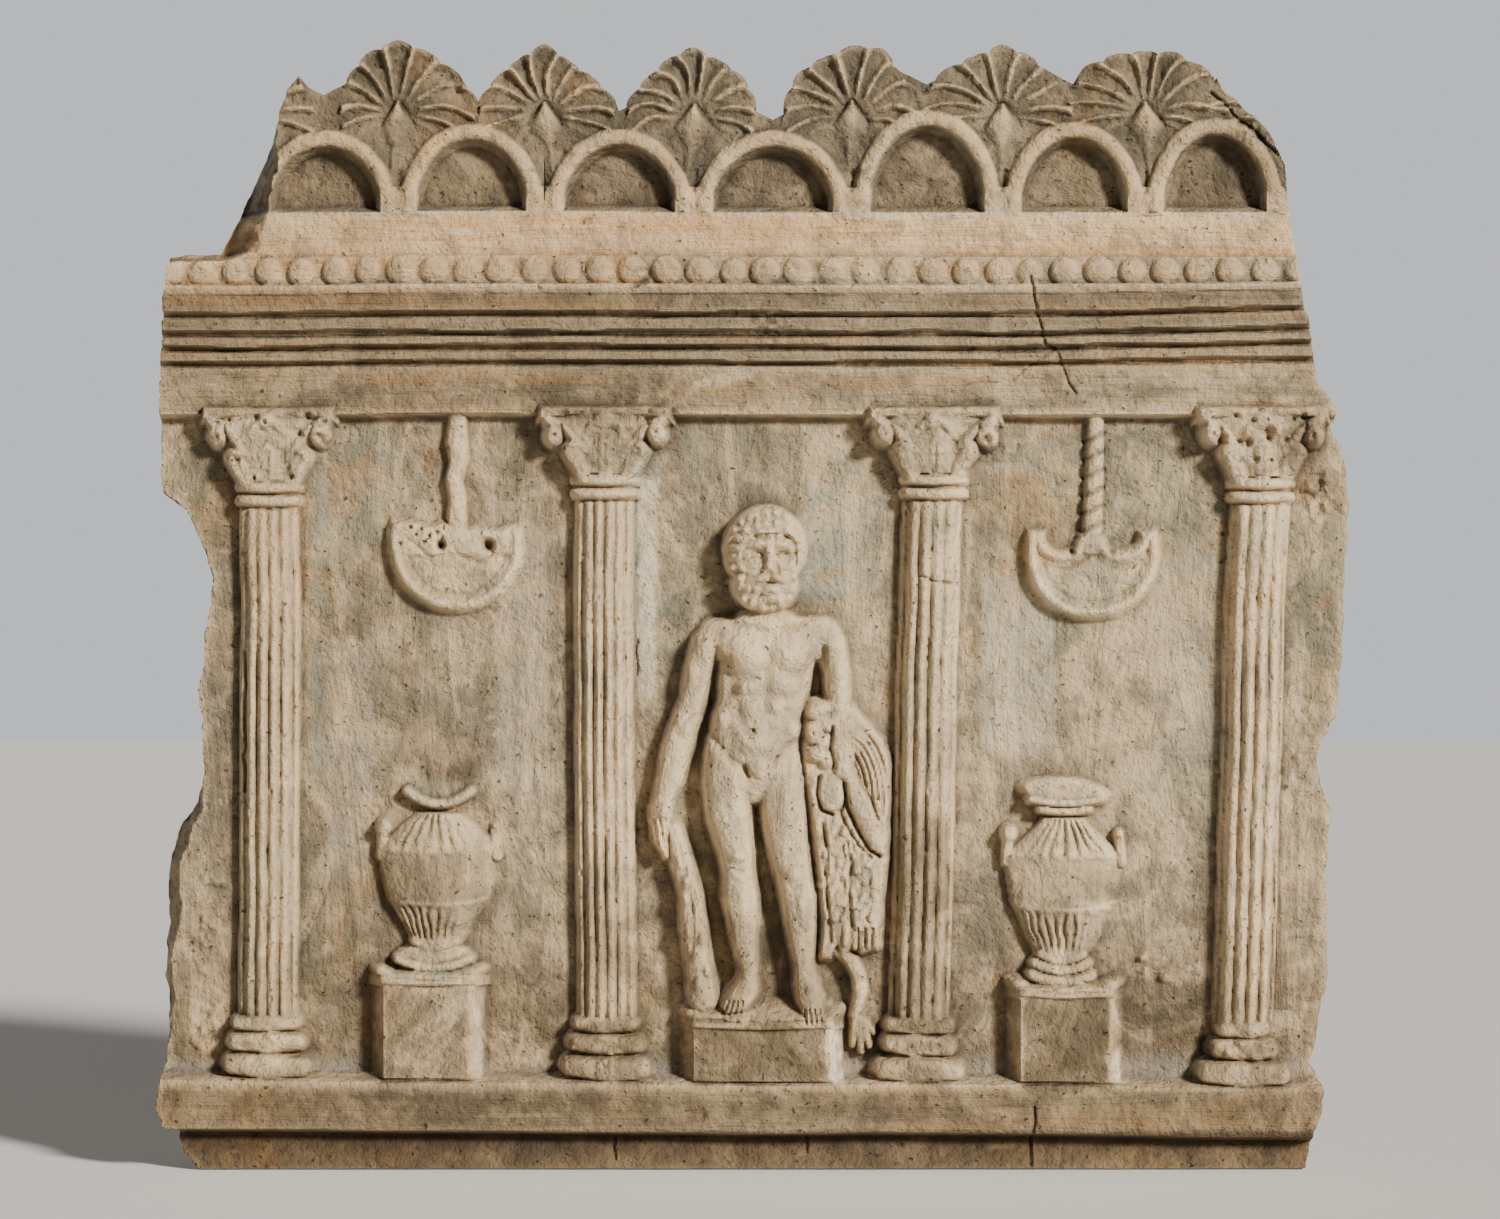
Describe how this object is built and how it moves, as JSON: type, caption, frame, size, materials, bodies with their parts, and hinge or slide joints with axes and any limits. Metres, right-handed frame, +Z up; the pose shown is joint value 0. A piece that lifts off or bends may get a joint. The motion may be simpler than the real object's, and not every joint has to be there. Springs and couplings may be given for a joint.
{
  "type": "campana relief plaque",
  "caption": "Moulded terracotta wall plaque: a colonnade with a bearded hero, urns and hanging shields under a moulded cornice and palmette frieze.",
  "frame": {"origin": "middle of the flat back, which lies in the plane Y = 0", "axes": "+X to the viewer's right along the plaque, +Y out of the back towards the wall, +Z up; the relief faces -Y"},
  "size_m": [0.4448, 0.0438, 0.4176],
  "materials": {
    "terracotta": "matt, worn and weathered fired clay"
  },
  "bodies": {
    "root": {"plaque": "terracotta"}
  },
  "joints": []
}
